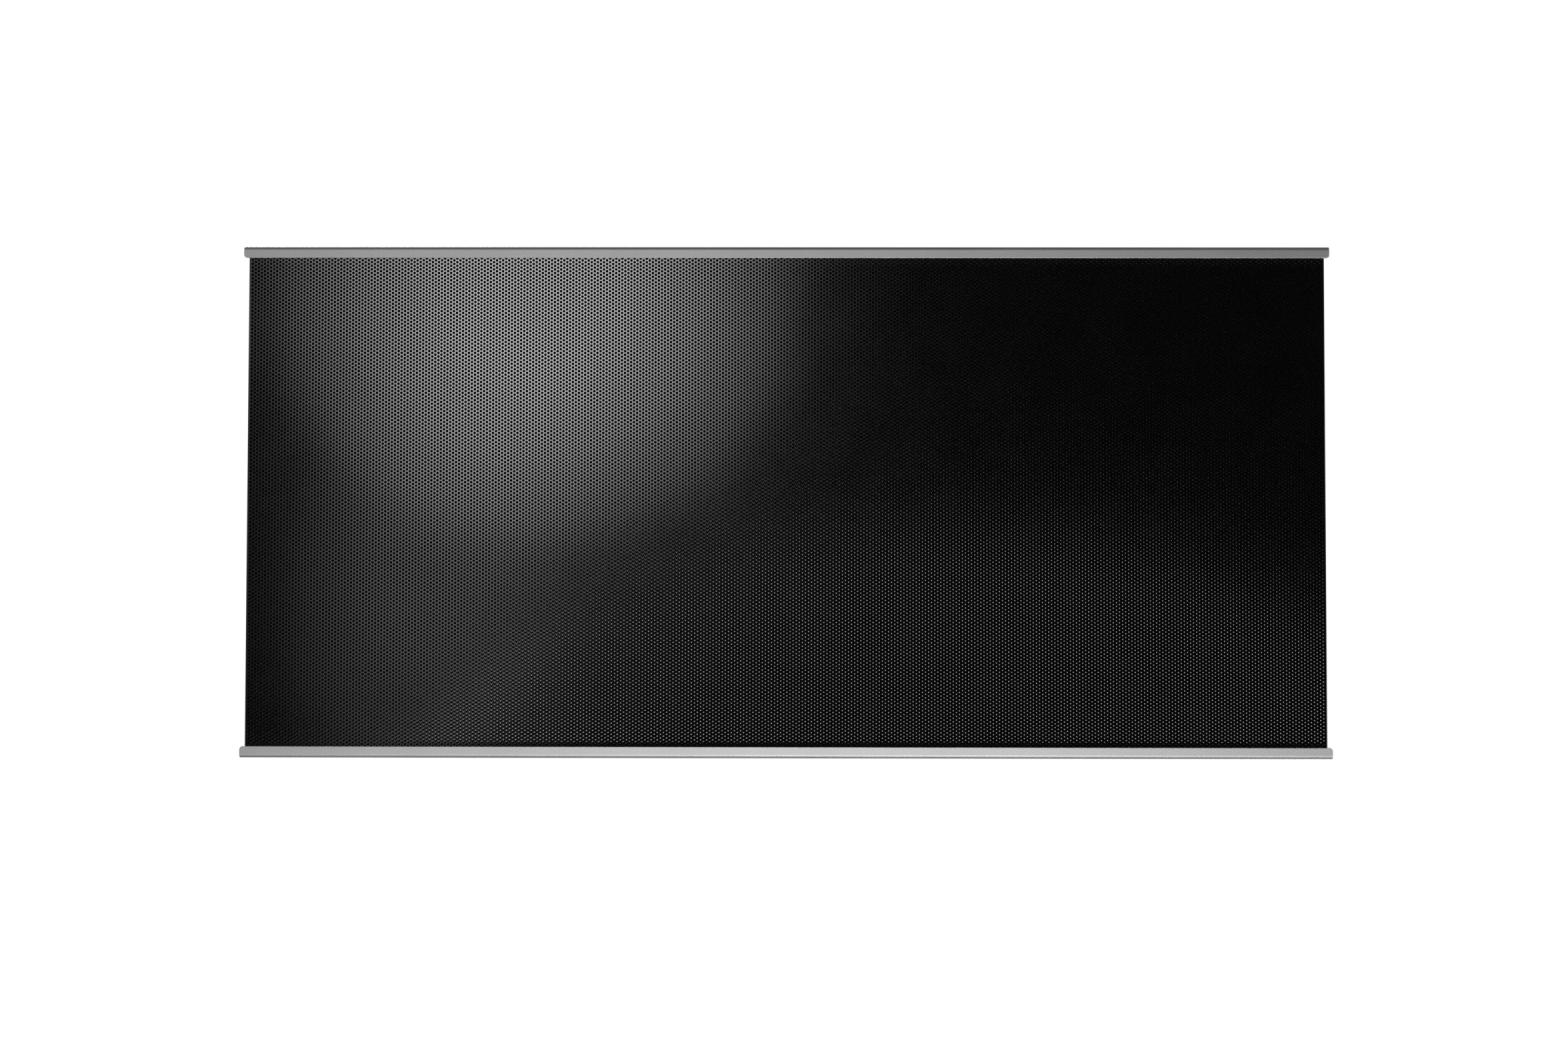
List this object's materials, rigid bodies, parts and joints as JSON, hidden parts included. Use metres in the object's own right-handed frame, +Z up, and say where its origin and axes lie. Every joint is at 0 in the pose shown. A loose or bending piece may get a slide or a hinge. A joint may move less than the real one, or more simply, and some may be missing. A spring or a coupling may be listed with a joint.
{
  "type": "ceiling heater",
  "caption": "Flat far-infrared ceiling heater: a dimpled black emitter plate between long aluminium rails, tilting on lockable ceiling brackets.",
  "frame": {"origin": "middle of the four ceiling slots, on the ceiling plane", "axes": "+X along the rails, +Z up into the ceiling, the heating face looks along -Z"},
  "size_m": [1.19, 0.56, 0.214],
  "materials": {
    "anodised_aluminium": "satin anodised",
    "black_enamel": "glossy black, dimpled",
    "galvanised_steel": "galvanised sheet",
    "black_powder_coat": "fine black powder coat",
    "zinc_steel": "zinc plated",
    "brass": "plain brass",
    "mica": "pressed mica",
    "resistance_foil": "bare foil",
    "bright_aluminium": "bright foil",
    "mineral_wool": "pressed mineral wool",
    "phenolic": "moulded phenolic",
    "silicone_lead": "silicone insulation",
    "grey_die_cast": "grey painted casting",
    "black_rubber": "matt rubber",
    "steatite": "unglazed ceramic",
    "black_nylon": "moulded nylon"
  },
  "bodies": {
    "ceiling_mount": {"left_ceiling_bracket": "black_powder_coat", "right_ceiling_bracket": "black_powder_coat", "left_pivot_bolt": "zinc_steel", "right_pivot_bolt": "zinc_steel", "pivot_washers": "zinc_steel", "pivot_nuts": "zinc_steel", "friction_washers": "black_nylon"},
    "panel": {"back_cover": "galvanised_steel", "back_mica": "mica", "bar_nuts": "zinc_steel", "bar_screws": "zinc_steel", "box_lid": "grey_die_cast", "box_screws": "zinc_steel", "clamp_bar_1": "galvanised_steel", "clamp_bar_2": "galvanised_steel", "clamp_bar_3": "galvanised_steel", "clamp_bar_4": "galvanised_steel", "clamp_screws": "zinc_steel", "cover_screws": "zinc_steel", "cutout_lead": "silicone_lead", "earth_lead": "silicone_lead", "earth_nut": "zinc_steel", "earth_stud": "zinc_steel", "emitter_plate": "black_enamel", "end_screws": "zinc_steel", "foil_terminals": "brass", "front_mica": "mica", "front_rail": "anodised_aluminium", "gland_body": "black_nylon", "gland_locknut": "black_nylon", "gland_nut": "black_nylon", "gland_seal": "black_rubber", "heating_foil": "resistance_foil", "insulation_board": "mineral_wool", "lead_grommet": "black_rubber", "left_cross_bar": "black_powder_coat", "lid_gasket": "black_rubber", "lid_screws": "zinc_steel", "live_lead": "silicone_lead", "lock_nuts": "zinc_steel", "neutral_lead": "silicone_lead", "rear_rail": "anodised_aluminium", "reflector_sheet": "bright_aluminium", "right_cross_bar": "black_powder_coat", "terminal_block": "steatite", "terminal_box": "grey_die_cast", "terminal_screws": "brass", "thermal_cutout": "phenolic"},
    "left_knob": {"left_lock_knob": "black_nylon", "left_lock_stud": "zinc_steel"},
    "right_knob": {"right_lock_knob": "black_nylon", "right_lock_stud": "zinc_steel"}
  },
  "joints": [
    {"name": "panel_tilt", "type": "hinge", "parent": "ceiling_mount", "child": "panel", "pos_m": [0, 0, -0.14], "axis": [1, 0, 0], "range_deg": [-30, 30]},
    {"name": "left_knob_turn", "type": "hinge", "parent": "panel", "child": "left_knob", "pos_m": [-0.4045, 0, -0.114], "axis": [1, 0, 0], "range_deg": [0, 360]},
    {"name": "right_knob_turn", "type": "hinge", "parent": "panel", "child": "right_knob", "pos_m": [0.4045, 0, -0.114], "axis": [1, 0, 0], "range_deg": [0, 360]}
  ]
}
